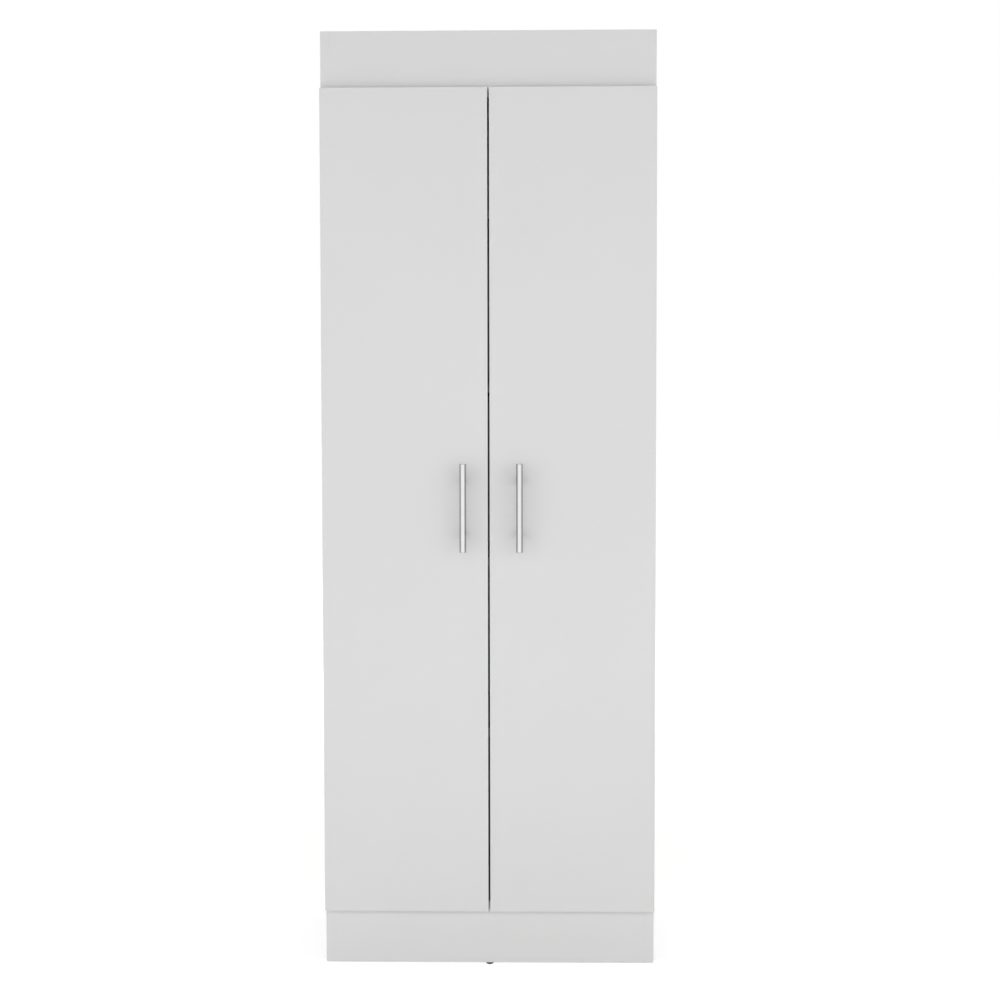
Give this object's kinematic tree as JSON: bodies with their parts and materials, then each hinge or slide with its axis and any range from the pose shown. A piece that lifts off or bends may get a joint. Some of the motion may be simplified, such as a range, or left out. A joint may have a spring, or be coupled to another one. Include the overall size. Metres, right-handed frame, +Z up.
{
  "type": "pantry cabinet",
  "caption": "Tall free-standing storage cabinet with full-overlay doors on concealed cup hinges, bar handles, a fascia above, a recessed-face plinth below and shelves inside.",
  "frame": {"origin": "centre of the footprint, handles included, on the floor", "axes": "+X to the right seen from the front, +Y from the doors to the back, +Z up"},
  "size_m": [0.6, 0.435, 1.692],
  "materials": {
    "melamine_board": "white melamine foil on particleboard, matching edge tape",
    "hardboard": "brown hardboard, white laminate on the inner face",
    "brushed_nickel": "satin brushed nickel",
    "nickel_plate": "bright nickel plate on pressed steel",
    "zinc_plate": "zinc plate on steel",
    "beech": "fluted beech",
    "glide_plastic": "dark moulded plastic",
    "clear_rubber": "clear soft rubber"
  },
  "bodies": {
    "root": {"side_panel_left": "melamine_board", "side_panel_right": "melamine_board", "top_panel": "melamine_board", "bottom_panel": "melamine_board", "fascia_board": "melamine_board", "plinth_board": "melamine_board", "wall_rail": "melamine_board", "fixed_shelf": "melamine_board", "adjustable_shelf_1": "melamine_board", "adjustable_shelf_2": "melamine_board", "adjustable_shelf_3": "melamine_board", "back_panel_lower": "hardboard", "back_panel_upper": "hardboard", "back_nails": "zinc_plate", "cam_locks": "zinc_plate", "cam_bolts": "zinc_plate", "wood_dowels": "beech", "shelf_pins": "nickel_plate", "side_glides": "glide_plastic", "centre_glide": "glide_plastic", "door_bumpers": "clear_rubber", "hinge_arms_left": "nickel_plate", "hinge_arm_pins_left": "zinc_plate", "hinge_arm_screws_left": "zinc_plate", "hinge_plates_left": "nickel_plate", "hinge_plate_screws_left": "zinc_plate", "hinge_arms_right": "nickel_plate", "hinge_arm_pins_right": "zinc_plate", "hinge_arm_screws_right": "zinc_plate", "hinge_plates_right": "nickel_plate", "hinge_plate_screws_right": "zinc_plate"},
    "left_door": {"door_panel_left": "melamine_board", "handle_bar_left": "brushed_nickel", "handle_posts_left": "brushed_nickel", "handle_screws_left": "zinc_plate", "hinge_cups_left": "nickel_plate", "hinge_cup_pins_left": "zinc_plate", "hinge_cup_screws_left": "zinc_plate"},
    "left_inner_links": {"hinge_inner_links_left": "zinc_plate"},
    "left_outer_links": {"hinge_outer_links_left": "nickel_plate"},
    "right_door": {"door_panel_right": "melamine_board", "handle_bar_right": "brushed_nickel", "handle_posts_right": "brushed_nickel", "handle_screws_right": "zinc_plate", "hinge_cups_right": "nickel_plate", "hinge_cup_pins_right": "zinc_plate", "hinge_cup_screws_right": "zinc_plate"},
    "right_inner_links": {"hinge_inner_links_right": "zinc_plate"},
    "right_outer_links": {"hinge_outer_links_right": "nickel_plate"}
  },
  "joints": [
    {"name": "left_inner_link_pivot", "type": "hinge", "parent": "root", "child": "left_inner_links", "pos_m": [-0.2735, -0.1742, 0.847], "axis": [0, 0, 1], "range_deg": [0, 49.7]},
    {"name": "left_door_pivot", "type": "hinge", "parent": "left_inner_links", "child": "left_door", "pos_m": [-0.2891, -0.1692, 0.847], "axis": [0, 0, -1], "range_deg": [0, 150]},
    {"name": "left_outer_link_pivot", "type": "hinge", "parent": "root", "child": "left_outer_links", "pos_m": [-0.265, -0.1727, 0.847], "axis": [0, 0, 1], "range_deg": [0, 36.7]},
    {"name": "right_inner_link_pivot", "type": "hinge", "parent": "root", "child": "right_inner_links", "pos_m": [0.2735, -0.1742, 0.847], "axis": [0, 0, -1], "range_deg": [0, 49.7]},
    {"name": "right_door_pivot", "type": "hinge", "parent": "right_inner_links", "child": "right_door", "pos_m": [0.2891, -0.1692, 0.847], "axis": [0, 0, 1], "range_deg": [0, 150]},
    {"name": "right_outer_link_pivot", "type": "hinge", "parent": "root", "child": "right_outer_links", "pos_m": [0.265, -0.1727, 0.847], "axis": [0, 0, -1], "range_deg": [0, 36.7]}
  ],
  "couplings": [
    {"joint": "left_inner_link_pivot", "follows": "left_door_pivot", "ratio": 0.33075},
    {"joint": "left_outer_link_pivot", "follows": "left_door_pivot", "ratio": 0.24441},
    {"joint": "right_inner_link_pivot", "follows": "right_door_pivot", "ratio": 0.33075},
    {"joint": "right_outer_link_pivot", "follows": "right_door_pivot", "ratio": 0.24441}
  ]
}
